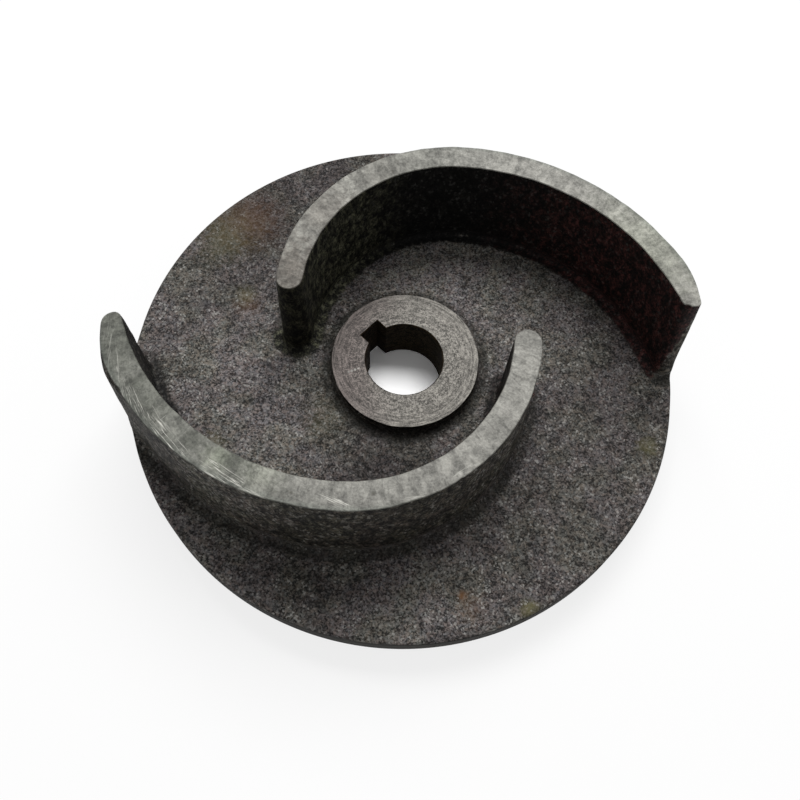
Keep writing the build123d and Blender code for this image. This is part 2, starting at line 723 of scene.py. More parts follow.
    def lay_plate(self) -> None:
        """Lays the plate's cast front, round the vanes' feet, and its back."""
        outline = []
        for k in range(self.vane_count):
            foot = self.feet[k]
            runs_back = np.linalg.norm(foot[-1] - self.plate_edge[k - 1][-1]) < CLOSE
            outline.append(foot[::-1] if runs_back else foot)
            outline.append(self.plate_edge[k][1:-1])
        loop = np.vstack(outline)
        slope = math.tan(math.radians(self.front_hub_draft))
        foot_radius = self.front_hub_radius + (self.hub_front - self.plate_front) * slope + self.front_hub_foot
        hub = self.hub_ring(foot_radius, self.plate_front)
        self.shell.fill(loop, hub, self.plate_front, self.spacing, Surface.CAST_SKIN, self.sand)
        rear = circle(self.rear_hub_radius, self.rear_steps)
        self.shell.fill(self.rear_edge, rear, self.plate_back, self.back_spacing, Surface.CAST_SKIN, self.sand)

    def lay_hub(self) -> None:
        """Lays the hub's cast front wall, its turned rear wall and both its faces."""
        slope = math.tan(math.radians(self.front_hub_draft))
        reach = self.hub_front - self.plate_front
        foot = self.front_hub_foot
        sizes = []
        for angle in np.radians(np.linspace(0, 90, 6)):
            radius = self.front_hub_radius + reach * slope + foot * (1 - math.sin(angle))
            sizes.append((radius, self.plate_front + foot * (1 - math.cos(angle))))
        for height in np.linspace(sizes[-1][1], self.hub_front, 5)[1:]:
            sizes.append((self.front_hub_radius + (self.hub_front - height) * slope, height))
        rows = [self.hub_ring(radius, height) for radius, height in sizes]
        self.shell.grid([lift(row, z) for row, (_, z) in zip(rows, sizes)], Surface.CAST_SKIN, True)
        self.hub_edge = rows[-1]
        mouth = self.bore_outline(self.bore_chamfer)
        self.shell.fill(self.hub_edge, mouth, self.hub_front, self.spacing, Surface.HUB_FACE)
        chamfer = self.rear_hub_chamfer
        rear = [
            (self.rear_hub_radius - chamfer, 0.0),
            (self.rear_hub_radius, chamfer),
            (self.rear_hub_radius, (chamfer + self.plate_back) / 2),
            (self.rear_hub_radius, self.plate_back),
        ]
        self.shell.grid([lift(circle(r, self.rear_steps), z) for r, z in rear], Surface.TURNED_RIM, True)
        seat = circle(self.rear_hub_radius - chamfer, self.rear_steps)
        self.shell.fill(seat, mouth, 0.0, self.seat_spacing, Surface.HUB_FACE)

    def hub_ring(self, radius: float, height: float) -> Points:
        """The hub's uneven outline, a little off the bore's axis, at a radius and height."""
        ring = arc(self.hub_shift, radius, 0, 360, self.hub_steps)
        return self.sand.roughen(ring, height, -1)[:-1]

    def bore_outline(self, offset: float) -> Points:
        """The keyed bore's outline.

        Args:
            offset: how much wider than the bore it is, all round.

        Returns:
            Its points.
        """
        radius, half = self.bore_radius + offset, self.key_width / 2 + offset
        turn = math.degrees(math.asin(half / radius))
        side = radius * math.cos(math.radians(turn))
        bottom = self.bore_radius + self.key_depth + offset
        parts = [
            arc((0, 0), radius, turn, 360 - turn, 84),
            line((side, -half), (bottom, -half), 4)[1:],
            line((bottom, -half), (bottom, half), 8)[1:],
            line((bottom, half), (side, half), 4)[1:-1],
        ]
        return turned(np.vstack(parts), self.key_angle)

    def lay_bore(self) -> None:
        """Lays the keyed bore's wall and the chamfers at its mouths."""
        mouth, wall = self.bore_outline(self.bore_chamfer), self.bore_outline(0)
        heights = np.linspace(self.bore_chamfer, self.hub_front - self.bore_chamfer, self.bore_rows)
        rows = [lift(mouth, 0.0)] + [lift(wall, z) for z in heights] + [lift(mouth, self.hub_front)]
        self.shell.grid(rows, Surface.BORE, True)

    def weld(self, name: str) -> bpy.types.Object:
        """Joins the patches into one closed mesh.

        Args:
            name: the object's name.

        Returns:
            The object, with a face's surface as its material index.
        """
        points = np.vstack(self.shell.points) * MM
        faces = [tuple(int(v) for v in face) for patch in self.shell.faces for face in patch]
        surfaces = np.concatenate(self.shell.surfaces)
        mesh = bpy.data.meshes.new(name)
        mesh.from_pydata(points.tolist(), [], faces)
        mesh.polygons.foreach_set("material_index", surfaces.astype(np.int32))
        skin = bmesh.new()
        skin.from_mesh(mesh)
        bmesh.ops.remove_doubles(skin, verts=skin.verts, dist=WELD_REACH * MM)
        bmesh.ops.recalc_face_normals(skin, faces=skin.faces)
        open_edges = sum(1 for edge in skin.edges if len(edge.link_faces) != 2)
        loose = [vert for vert in skin.verts if not vert.link_faces]
        bmesh.ops.delete(skin, geom=loose, context="VERTS")
        for face in skin.faces:
            face.smooth = True
        for edge in skin.edges:
            if len(edge.link_faces) == 2:
                edge.smooth = not self.is_sharp(edge)
        skin.to_mesh(mesh)
        skin.free()
        LOG.info("%s: %d faces, %d open edges, %d loose points", name, len(mesh.polygons), open_edges, len(loose))
        self.mark(mesh)
        return placed(name, mesh)

    def mark(self, mesh: bpy.types.Mesh) -> None:
        """Marks each point with its soot and painted shade, and with how near a root it is, where the cast skin paints
        shade and dirt, for the cast skin's finish.

        Args:
            mesh: the casting's mesh.
        """
        lines = [(foot, vane.sooty_and_shaded(len(foot))) for vane, foot in zip(self.vanes, self.feet)]
        hub = self.hub_ring(self.front_hub_radius + self.front_hub_foot, self.plate_front)
        lines.append((hub, np.zeros(len(hub))))
        places, shares = np.vstack([line[0] for line in lines]), np.concatenate([line[1] for line in lines])
        near = searched(places)
        soot, root = np.zeros(len(mesh.vertices)), np.zeros(len(mesh.vertices))
        for vertex in mesh.vertices:
            x, y, z = vertex.co / MM
            if z < self.plate_front - self.unmarked_depth:
                continue
            _, nearest, away = near.find((x, y, 0))
            height = max(0.0, z - self.plate_front)
            over_plate = 0.0 if height > self.soot_and_shade_height else away
            soot[vertex.index] = shares[nearest] * float(smooth_step(1 - over_plate / self.soot_and_shade_reach))
            from_root = math.hypot(away * self.root_flatness, max(0.0, height - self.root_height))
            root[vertex.index] = float(smooth_step(1 - from_root / self.root_reach))
        for name, values in (("soot", soot), ("root", root)):
            held = mesh.attributes.new(name, "FLOAT", "POINT")
            held.data.foreach_set("value", values.astype(np.float32))

    @staticmethod
    def is_sharp(edge: bmesh.types.BMEdge) -> bool:
        """Whether an edge stays sharp: at a bend between two finishes, or at a corner of a machined one.

        Args:
            edge: the edge, between two faces.

        Returns:
            True where it stays sharp.
        """
        first, second = (Surface(face.material_index) for face in edge.link_faces)
        bend = math.degrees(edge.calc_face_angle(0.0))
        if first is not second:
            return bend > BEND_BETWEEN_FINISHES
        return first is not Surface.CAST_SKIN and bend > BEND_WITHIN_FINISH


Colour = tuple[float, float, float]


class Signal:
    """A number, place or colour that flows through a node sheet, with the sums that numbers take."""

    def __init__(self, sheet: Sheet, socket: bpy.types.NodeSocket) -> None:
        """Keeps the sheet, and the socket that the signal comes out of."""
        self.sheet, self.socket = sheet, socket

    def __add__(self, other: Signal | float) -> Signal:
        """The sum of two numbers."""
        return self.sheet.math("ADD", self, other)

    def __sub__(self, other: Signal | float) -> Signal:
        """The difference of two numbers."""
        return self.sheet.math("SUBTRACT", self, other)

    def __rsub__(self, other: float) -> Signal:
        """A plain number less this one."""
        return self.sheet.math("SUBTRACT", other, self)

    def __mul__(self, other: Signal | float) -> Signal:
        """The product of two numbers."""
        return self.sheet.math("MULTIPLY", self, other)

    def __rtruediv__(self, other: float) -> Signal:
        """A plain number divided by this one."""
        return self.sheet.math("DIVIDE", other, self)

    def __truediv__(self, other: Signal) -> Signal:
        """The quotient of two numbers."""
        return self.sheet.math("DIVIDE", self, other)

    def __pow__(self, other: float) -> Signal:
        """A number raised to a power."""
        return self.sheet.math("POWER", self, other)

    def window(self, low: Signal | float, high: Signal | float) -> Signal:
        """A number eased from 0 at one limit to 1 at the other."""
        inputs = {"Value": self, "From Min": low, "From Max": high}
        return self.sheet.node("ShaderNodeMapRange", inputs, interpolation_type="SMOOTHSTEP")[0]

    def scaled(self, size: Signal | float) -> Signal:
        """A place made further from the origin by a factor."""
        return self.sheet.node("ShaderNodeVectorMath", {0: self, "Scale": size}, operation="SCALE")["Vector"]

    def under(self, colour: Signal | Colour, share: Signal | float) -> Signal:
        """A colour with another laid over it by a share."""
        return self.sheet.blend(share, self, colour)

    def tinted(self, tint: Signal | Colour, share: Signal | float = 1.0) -> Signal:
        """A colour multiplied by a tint, by a share."""
        whole = self.sheet.blend(1.0, self, tint, "MULTIPLY")
        return self.under(whole, share) if isinstance(share, Signal) else whole


@dataclass(frozen=True)
class Drawn:
    """A node on a sheet."""

    sheet: Sheet
    node: bpy.types.Node

    def __getitem__(self, key: str | int) -> Signal:
        """What comes out of one of its outputs."""
        return Signal(self.sheet, self.node.outputs[key])


@dataclass
class Sheet:
    """A node tree that is being drawn up."""

    tree: bpy.types.NodeTree

    def node(self, kind: str, inputs: dict[str | int, object] | None = None, **settings: object) -> Drawn:
        """Adds a node.

        Args:
            kind: Blender's name for the node.
            inputs: what each input takes, a value or the signal that feeds it.
            settings: the node's own settings.

        Returns:
            The node.
        """
        made = self.tree.nodes.new(kind)
        for name, value in settings.items():
            setattr(made, name, value)
        for key, value in (inputs or {}).items():
            self.feed(made.inputs[key], value)
        return Drawn(self, made)

    def feed(self, socket: bpy.types.NodeSocket, value: object) -> None:
        """Feeds an input with a signal, a number, a place or a colour.

        Args:
            socket: the input.
            value: what it takes; a colour of three values is filled up to four.
        """
        if isinstance(value, Signal):
            self.tree.links.new(value.socket, socket)
        elif isinstance(value, tuple) and len(value) < len(socket.default_value):
            socket.default_value = (*value, 1.0)
        else:
            socket.default_value = value

    def math(self, operation: str, *values: Signal | float) -> Signal:
        """The result of a sum on numbers."""
        return self.node("ShaderNodeMath", dict(enumerate(values)), operation=operation)[0]

    def vector(self, operation: str, *values: Signal | Colour) -> Signal:
        """The result of a sum on places; a length or distance is a number."""
        made = self.node("ShaderNodeVectorMath", dict(enumerate(values)), operation=operation)
        return made["Value" if operation in ("LENGTH", "DISTANCE") else "Vector"]

    def noise(self, place: Signal, scale: Signal | float, detail: float = 2.0, rough: float = 0.5) -> Signal:
        """Soft noise from 0 to 1 at a scale per mm."""
        inputs = {"Vector": place, "Scale": scale, "Detail": detail, "Roughness": rough}
        return self.node("ShaderNodeTexNoise", inputs)[0]

    def stray(self, place: Signal, scale: Signal | float, detail: float, size: Signal | float) -> Signal:
        """A shift of up to a size in each direction, which changes smoothly from place to place."""
        inputs = {"Vector": place, "Scale": scale, "Detail": detail}
        return self.node("ShaderNodeTexNoise", inputs)["Color"].scaled(size)

    def grains(self, place: Signal, scale: Signal | float) -> Signal:
        """A value from 0 to 1 of its own for each of many small grains, at a scale per mm."""
        cells = self.node("ShaderNodeTexVoronoi", {"Vector": place, "Scale": scale})["Color"]
        return self.node("ShaderNodeSeparateColor", {0: cells})[0]

    def blend(
        self, share: Signal | float, first: Signal | Colour, second: Signal | Colour, way: str = "MIX"
    ) -> Signal:
        """The second colour laid over the first by a share."""
        return self.node("ShaderNodeMix", {0: share, 6: first, 7: second}, data_type="RGBA", blend_type=way)[2]

    def attribute(self, name: str) -> Signal:
        """A value that the mesh holds at each point."""
        return self.node("ShaderNodeAttribute", attribute_name=name)["Fac"]

    def parts(self, place: Signal) -> Drawn:
        """A place taken apart into X, Y and Z."""
        return self.node("ShaderNodeSeparateXYZ", {0: place})

    def joined(self, **parts: Signal | float) -> Signal:
        """A place made of X, Y and Z, each 0 where it isn't given."""
        return self.node("ShaderNodeCombineXYZ", dict(parts))[0]

    def flat(self, place: Signal) -> Signal:
        """A place brought down to the plane through the origin."""
        return self.vector("MULTIPLY", place, (1, 1, 0))

    def most(self, signals: Iterable[Signal]) -> Signal | float:
        """The greatest of some numbers.

        Args:
            signals: the numbers.

        Returns:
            The greatest of them, and at least 0.
        """
        total: Signal | float = 0.0
        for signal in signals:
            total = self.math("MAXIMUM", total, signal)
        return total


@dataclass(frozen=True)
class Mottle:
    """Noise made into patches: its scale per mm, its detail and roughness, and the values it is eased between."""

    scale: float
    detail: float
    rough: float
    low: float
    high: float

    def at(self, place: Signal) -> Signal:
        """The patches at a place, from 0 to 1."""
        return place.sheet.noise(place, self.scale, self.detail, self.rough).window(self.low, self.high)


@dataclass(frozen=True)
class Ragged:
    """Noise about 0, which makes an edge ragged: its scale per mm, detail and roughness, and its swing."""

    scale: float
    detail: float
    rough: float
    swing: float

    def at(self, place: Signal) -> Signal:
        """The noise at a place."""
        return place.sheet.noise(place, self.scale, self.detail, self.rough) * self.swing + -self.swing / 2


@dataclass(frozen=True)
class Stain:
    """A stain: its place, seen along the bore's axis, and its reach, in mm, and its strength."""

    x: float
    y: float
    reach: float
    strength: float

    def at(self, flat: Signal, ragged: Signal) -> Signal:
        """How strongly a flat place is stained, with noise that makes the edge ragged."""
        away = ragged * (self.reach * STAIN_RAGGED) + flat.sheet.vector("DISTANCE", flat, (self.x, self.y, 0))
        return away.window(self.reach * STAIN_RIM, self.reach * STAIN_CORE) * self.strength


def stains(*rows: tuple[float, float, float, float]) -> tuple[Stain, ...]:
    """Stains from rows of x, y, reach and strength."""
    return tuple(Stain(*row) for row in rows)


def stained(place: Signal, marks: Sequence[Stain]) -> Signal | float:
    """How strongly a place is stained.

    Args:
        place: the place, in mm.
        marks: the stains.

    Returns:
        The strength, ragged at each stain's edge.
    """
    sheet = place.sheet
    flat = sheet.flat(place)
    ragged = sheet.noise(place, 0.6, 3.0, 0.65)
    return sheet.most(mark.at(flat, ragged) for mark in marks)


@dataclass(frozen=True)
class ScoreBundle:
    """A bundle of scores on the front vane's top: its middle, heading in degrees, reach along and across, strength."""

    x: float
    y: float
    heading: float
    half_length: float
    half_width: float
    strength: float

    def values(self) -> dict[str, float]:
        """What its node group takes beside the place."""
        return {
            "X": self.x,
            "Y": self.y,
            "Heading": math.radians(self.heading),
            "Half length": self.half_length,
            "Half width": self.half_width,
            "Strength": self.strength,
        }


Outputs = dict[str | int, object]


class Effects:
    """The node groups that the finishes share, each built once."""

    def __init__(self) -> None:
        """Starts with none of them built."""
        self.built: dict[str, bpy.types.NodeTree] = {}

    def group(
        self,
        name: str,
        inputs: dict[str, float | None],
        outputs: Sequence[str],
        draw: Callable[[Sheet, Drawn], Outputs],
    ) -> bpy.types.NodeTree:
        """A shared node group, built the first time that it is asked for.

        Args:
            name: the group's name.
            inputs: its number inputs with their usual values, or None for a place.
            outputs: the names of its outputs.
            draw: draws its inside and returns what feeds each output.

        Returns:
            The group.
        """
        if name in self.built:
            return self.built[name]
        tree = bpy.data.node_groups.new(name, "ShaderNodeTree")
        for key, value in inputs.items():
            kind = "NodeSocketVector" if value is None else "NodeSocketFloat"
            made = tree.interface.new_socket(name=key, in_out="INPUT", socket_type=kind)
            if value is not None:
                made.default_value = value
        for key in outputs:
            tree.interface.new_socket(name=key, in_out="OUTPUT", socket_type="NodeSocketFloat")
        sheet = Sheet(tree)
        sheet.node("NodeGroupOutput", draw(sheet, sheet.node("NodeGroupInput")))
        self.built[name] = tree
        return tree

    def sand_grain(self, place: Signal, grain: float, depth: float) -> Drawn:
        """The grain of a sand-cast skin at a place.

        Args:
            place: the place, in mm.
            grain: how large a grain is, in mm.
            depth: how deep the grain goes, in mm.

        Returns:
            The group's node.
        """
        inputs = {"Place": None, "Grain": 0.6, "Depth": 0.1}
        tree = self.group("sand_grain", inputs, ("Tone", "Glint", "Height"), self.draw_grain)
        return place.sheet.node("ShaderNodeGroup", {"Place": place, "Grain": grain, "Depth": depth}, node_tree=tree)

    @staticmethod
    def draw_grain(sheet: Sheet, entry: Drawn) -> Outputs:
        """Draws the grain.

        Args:
            sheet: the inside of its group.
            entry: the group's inputs.

        Returns:
            Its light and dark, its glints and its height.
        """
        place, grain, depth = entry["Place"], entry["Grain"], entry["Depth"]
        scale = 1.0 / grain
        moved = sheet.vector("ADD", place, sheet.stray(place, scale, 1.0, grain * 0.9))
        small, large = sheet.grains(moved, scale), sheet.grains(moved, scale * 0.42)
        fine = sheet.noise(place, scale * 0.8, 4.0, 0.7)
        broad = sheet.noise(place, 0.3, 3.0, 0.6)
        mixed = fine.window(0.3, 0.7) * 0.34 + (small * 0.42 + large * 0.26)
        tone = (broad * 0.4 + mixed).window(0.40, 1.10)
        elsewhere = sheet.vector("ADD", moved, (31.7, 5.3, 11.1))
        glint = sheet.grains(elsewhere, scale * 0.8).window(0.84, 0.94) * broad.window(0.3, 0.65)
        height = (broad * 0.9) * depth + (small * 0.22 + fine) * depth
        return {"Tone": tone, "Glint": glint, "Height": height}

    def lathe_lines(self, place: Signal, pitch: float, run: float, facing: float = 1.0) -> Drawn:
        """The lines that a lathe's tool leaves round the bore's axis, at a place.

        Args:
            place: the place, in mm.
            pitch: how far apart they lie, in mm.
            run: how often they change round the axis.
            facing: 1 on a face, 0 round a wall.

        Returns:
            The group's node.
        """
        inputs = {"Place": None, "Pitch": 0.4, "Run": 6.0, "Facing": 1.0}
        tree = self.group("lathe_lines", inputs, ("Lines", "Height"), self.draw_lines)
        values = {"Place": place, "Pitch": pitch, "Run": run, "Facing": facing}
        return place.sheet.node("ShaderNodeGroup", values, node_tree=tree)

    @staticmethod
    def draw_lines(sheet: Sheet, entry: Drawn) -> Outputs:
        """Draws the lines, which lie one beyond the other by radius on a face, and by height round a wall.

        Args:
            sheet: the inside of their group.
            entry: the group's inputs.

        Returns:
            The lines and their height.
        """
        place, facing = entry["Place"], entry["Facing"]
        flat = sheet.flat(place)
        across = sheet.vector("LENGTH", flat) * facing + sheet.parts(place)["Z"] * (1.0 - facing)
        turn = sheet.vector("NORMALIZE", flat).scaled(entry["Run"])
        spot = sheet.vector("ADD", turn, sheet.joined(Z=across / entry["Pitch"]))
        lines = sheet.noise(spot, 1.0, 2.0, 0.6).window(0.3, 0.7)
        return {"Lines": lines, "Height": lines * 0.012}

    def scores(self, place: Signal, bundle: ScoreBundle) -> Signal:
        """A bundle of thin, nearly parallel scores, fainter on the back vane.

        Args:
            place: the place, in mm.
            bundle: the bundle.

        Returns:
            How brightly the place is scored, from 0 to 1.
        """
        values = bundle.values()
        inputs = {"Place": None, **dict.fromkeys(values, 1.0)}
        tree = self.group("score_bundle", inputs, ("Marks",), self.draw_bundle)
        return place.sheet.node("ShaderNodeGroup", {"Place": place, **values}, node_tree=tree)["Marks"]

    @staticmethod
    def draw_bundle(sheet: Sheet, entry: Drawn) -> Outputs:
        """Draws the bundle's scores, which fade at both ends.

        Args:
            sheet: the inside of their group.
            entry: the group's inputs.

        Returns:
            The scores.
        """
        place = entry["Place"]
        middle = sheet.joined(X=entry["X"], Y=entry["Y"])
        from_middle = sheet.vector("SUBTRACT", Effects.folded(place), middle)
        turn = {"Vector": from_middle, "Angle": entry["Heading"] * -1.0}
        parts = sheet.parts(sheet.node("ShaderNodeVectorRotate", turn, rotation_type="Z_AXIS")[0])
        along = parts["X"]
        across = sheet.noise(place, 0.35, 1.0) * 0.3 + parts["Y"]
        lay = sheet.joined(X=entry["X"], Y=across * 3.4, Z=along * 0.17)
        lines = sheet.noise(lay, 1.0, 2.0, 0.7).window(0.54, 0.68)
        ends = sheet.math("ABSOLUTE", along) / entry["Half length"]
        sides = sheet.math("ABSOLUTE", across - 0.15) / entry["Half width"]
        ragged = Ragged(1.7, 0.0, 0.5, 1.2).at(lay)
        inside = (ends + ragged).window(1.0, 0.6) * sides.window(1.0, 0.55)
        fainter = sheet.parts(place)["Y"].window(5.0, -5.0) * 0.75 + 0.25
        return {"Marks": lines * inside * fainter * entry["Strength"]}

    @staticmethod
    def folded(place: Signal) -> Signal:
        """A place on either vane, turned on to the front one.

        Args:
            place: the place, in mm.

        Returns:
            The place there, brought down flat.
        """
        sheet = place.sheet
        parts = sheet.parts(place)
        turn = sheet.math("SIGN", parts["Y"] + parts["X"] * 0.12) * -1.0
        return sheet.flat(place).scaled(turn)


@dataclass(frozen=True)
class Finish:
    """What every finish shares: its name and the effects that it is drawn with."""

    name: str
    effects: Effects

    def start(self, rough: float, metal: float, gloss: float = 0.5) -> tuple[bpy.types.Material, Sheet, Signal]:
        """Starts the material.

        Args:
            rough: the roughness, until a node drives it.
            metal: how metallic it is.
            gloss: how strongly its surface reflects.

        Returns:
            The material, its node sheet and the place on the part, in mm.
        """
        material = bpy.data.materials.new(self.name)
        material.use_nodes = True
        shader = material.node_tree.nodes["Principled BSDF"]
        shader.inputs["Roughness"].default_value = rough
        shader.inputs["Metallic"].default_value = metal
        shader.inputs["Specular IOR Level"].default_value = gloss
        sheet = Sheet(material.node_tree)
        return material, sheet, sheet.node("ShaderNodeTexCoord")["Object"].scaled(1 / MM)

    @staticmethod
    def dress(sheet: Sheet, colour: Signal, rough: Signal, height: Signal) -> None:
        """Feeds the shader.

        Args:
            sheet: the material's node sheet.
            colour: its colour.
            rough: its roughness.
            height: the height of its grain and marks, in mm, which drives its normal.
        """
        bump = sheet.node("ShaderNodeBump", {"Strength": 1.0, "Distance": MM, "Height": height})
        inputs = sheet.tree.nodes["Principled BSDF"].inputs
        for name, value in (("Base Color", colour), ("Roughness", rough), ("Normal", bump["Normal"])):
            sheet.feed(inputs[name], value)


@dataclass(frozen=True)
class CastSkin(Finish):
    """Dark, grainy skin as it left the sand, stained by rust, with soot and painted shade in the vanes' hollows,
    painted shade and dirt at the roots, and broad patches of painted light and shade mixed with paler and darker skin.
    """

    dark: Colour = (0.015, 0.0142, 0.0132)
    light: Colour = (0.172, 0.161, 0.147)
    glint: Colour = (0.50, 0.49, 0.46)
    plum: Colour = (1.01, 0.965, 1.01)
    moss: Colour = (0.98, 1.0, 0.93)
    warm: Colour = (1.07, 0.97, 0.93)
    cool: Colour = (0.93, 0.99, 1.06)
    dimmer: Colour = (0.9, 0.9, 0.9)
    lighter: Colour = (1.06, 1.06, 1.06)
    # painted light: brightens places where light falls, such as the back vane's lit end, as well as paler skin
    lit_and_paler: Colour = (1.55, 1.57, 1.6)
    # painted shade: darkens places in shade, such as the hub's shadow in front of it, as well as darker skin
    shaded_and_darker: Colour = (0.45, 0.43, 0.43)
    low_wall: Colour = (0.16, 0.155, 0.125)
    high_wall: Colour = (1.02, 1.0, 0.88)
    wall_shade: Colour = (0.5, 0.48, 0.44)
    # painted shade: these near-black colours stand in for the shade in the vanes' hollows as well as for soot
    brown_soot_and_shade: Colour = (0.0125, 0.0036, 0.0032)
    olive_soot_and_shade: Colour = (0.0235, 0.0235, 0.0150)
    black_soot_and_shade: Colour = (0.0008, 0.0008, 0.0008)
    thin_soot_and_shade: Colour = (8.0, 8.0, 8.0)
    thick_soot_and_shade: Colour = (0.05, 0.05, 0.05)
    # painted shade: the dark colour at the vanes' and hub's roots stands in for the shade in those creases as well as
    # for dirt
    root_dirt_and_shade: Colour = (0.009, 0.0085, 0.006)
    rust: Colour = (0.16, 0.075, 0.03)
    olive: Colour = (0.12, 0.11, 0.045)
    rough: float = 0.7
    roughest: float = 0.82
    gloss: float = 0.22
    wall_foot: float = 12.0
    wall_start: float = 14.0
    wall_widening: float = 0.15
    wall_lengthening: float = 0.45
    root_share: float = 0.62
    soot_and_shade_share: float = 0.97
    soot_and_shade_glint: float = 0.06
    grain_size: float = 0.37
    grain_depth: float = 0.11
    hue_size: float = 1.3
    hues: Mottle = Mottle(0.1, 2.0, 0.5, 0.38, 0.62)
    patches: Mottle = Mottle(0.055, 2.0, 0.5, 0.3, 0.7)
    blotches: Mottle = Mottle(0.6, 4.0, 0.7, 0.36, 0.66)
    ragged: Ragged = Ragged(0.9, 4.0, 0.65, 2.0)
    rust_stains: tuple[Stain, ...] = stains(
        (-46.0, 42.0, 15.0, 0.26),
        (-43.0, 15.0, 6.0, 0.22),
        (16.9, -58.4, 2.0, 0.85),
        (18.5, -60.5, 6.0, 0.22),
        (-30.0, 8.0, 7.0, 0.12),
    )
    olive_stains: tuple[Stain, ...] = stains(
        (32.4, -60.4, 3.6, 0.75),
        (62.8, -18.9, 4.5, 0.45),
        (-43.5, 18.0, 5.0, 0.30),
        (-52.0, 36.0, 14.0, 0.28),
        (-20.0, -16.0, 9.0, 0.18),
        (-46.0, -24.0, 5.0, 0.35),
    )
    # painted light and paler skin; the last patch is the back vane's lit end face
    lit_and_pale_patches: tuple[Stain, ...] = stains(
        (-40.0, -2.0, 34.0, 0.6),
        (-35.0, -18.0, 30.0, 0.65),
        (29.0, 25.0, 34.0, 0.8),
        (10.0, 33.0, 46.0, 1.0),
        (-45.0, -48.0, 26.0, 0.7),
        (5.0, -61.0, 26.0, 0.6),
        (67.0, 1.0, 9.0, 1.0),
    )
    # painted shadow and darker skin; the first patch is the hub's shadow in front of it
    shaded_and_dark_patches: tuple[Stain, ...] = stains(
        (-1.0, -27.0, 34.0, 1.0),
        (53.0, -14.0, 50.0, 0.6),
        (47.0, -39.0, 46.0, 0.45),
        (-50.0, 24.0, 32.0, 0.6),
        (-44.0, 44.0, 44.0, 0.95),
        (-22.0, 60.0, 34.0, 0.9),
    )
    wall_shades: tuple[Stain, ...] = stains(
        (-63.0, -28.0, 30.0, 0.9), (-4.0, -48.0, 44.0, 0.75), (28.0, -8.0, 24.0, 0.6), (-28.0, 5.0, 14.0, 1.0)
    )

    def build(self) -> bpy.types.Material:
        """Builds the material.

        Returns:
            The material.
        """
        material, sheet, place = self.start(self.rough, 0.0, self.gloss)
        parts = sheet.parts(place)
        upright = parts["Z"].window(self.wall_foot, self.wall_start)
        wide, tall = upright * -self.wall_widening + 1.0, upright * -self.wall_lengthening + 1.0
        drawn_out = sheet.vector("MULTIPLY", place, sheet.joined(X=wide, Y=wide, Z=tall))
        grain = self.effects.sand_grain(drawn_out, self.grain_size, self.grain_depth)
        blotch = self.blotches.at(drawn_out)
        # painted shade and darker skin, where glints are also fewer
        shaded_and_darkened = stained(place, self.shaded_and_dark_patches)
        # painted light brightens the lit and paler patches
        colour = self.skin(place, grain["Tone"]).tinted(self.lit_and_paler, stained(place, self.lit_and_pale_patches))
        colour = colour.tinted(self.shaded_and_darker, shaded_and_darkened)
        colour = colour.under(self.rust, stained(place, self.rust_stains))
        colour = colour.under(self.olive, stained(place, self.olive_stains))
        colour = colour.tinted(sheet.blend(blotch, self.low_wall, self.high_wall), upright)
        colour = colour.under(self.glint, grain["Glint"] * (shaded_and_darkened * -0.42 + 0.52))
        ragged = self.ragged.at(place)
        wander = ragged * 1.1 + 1.0
        # painted shade and dirt darken the roots of the vanes and the hub
        root = (sheet.attribute("root") * wander).window(0.2, 0.8)
        # painted shade: the hollows and the plate at their feet are darkened for their shade as well as for soot
        soot = (sheet.attribute("soot") * wander).window(0.15, 0.7)
        sooty_and_shaded = self.sooty_and_shaded(parts, ragged, (grain["Tone"] + blotch) * 0.5)
        sooty_and_shaded = sooty_and_shaded.under(self.glint, grain["Glint"] * self.soot_and_shade_glint)
        colour = colour.under(self.root_dirt_and_shade, root * self.root_share).under(sooty_and_shaded, soot * self.soot_and_shade_share)
        colour = colour.tinted(self.wall_shade, upright * stained(place, self.wall_shades))
        self.dress(sheet, colour, grain["Tone"] * -0.2 + self.roughest, grain["Height"])
        return material

    def skin(self, place: Signal, tone: Signal) -> Signal:
        """The clean skin's colour.

        Args:
            place: the place, in mm.
            tone: how light the grain is there.

        Returns:
            The colour.
        """
        sheet = place.sheet
        colour = sheet.blend(tone, self.dark, self.light)
        colour = colour.tinted(sheet.blend(self.hues.at(place), self.plum, self.moss))
        colour = colour.tinted(sheet.blend(sheet.grains(place, self.hue_size), self.warm, self.cool))
        return colour.tinted(sheet.blend(self.patches.at(place), self.dimmer, self.lighter))

    def sooty_and_shaded(self, parts: Drawn, ragged: Signal, share: Signal) -> Signal:
        """The colour of the soot and painted shade: brown to the right, olive in the back vane's hollow and black
        between them.

        Args:
            parts: the place's X, Y and Z, in mm.
            ragged: noise about 0, from -1 to 1.
            share: how thin the soot and its painted shade lie, from 0 to 1.

        Returns:
            The colour.
        """
        sheet = ragged.sheet
        to_right = (ragged * 16.0 + parts["X"]).window(14.0, 50.0)
        to_left = (ragged * 8.0 + parts["X"]).window(0.0, -18.0) * parts["Y"].window(-4.0, 6.0)
        colour = sheet.blend(to_right, sheet.blend(to_left, self.black_soot_and_shade, self.olive_soot_and_shade), self.brown_soot_and_shade)
        return colour.tinted(sheet.blend(share**2.4, self.thick_soot_and_shade, self.thin_soot_and_shade))


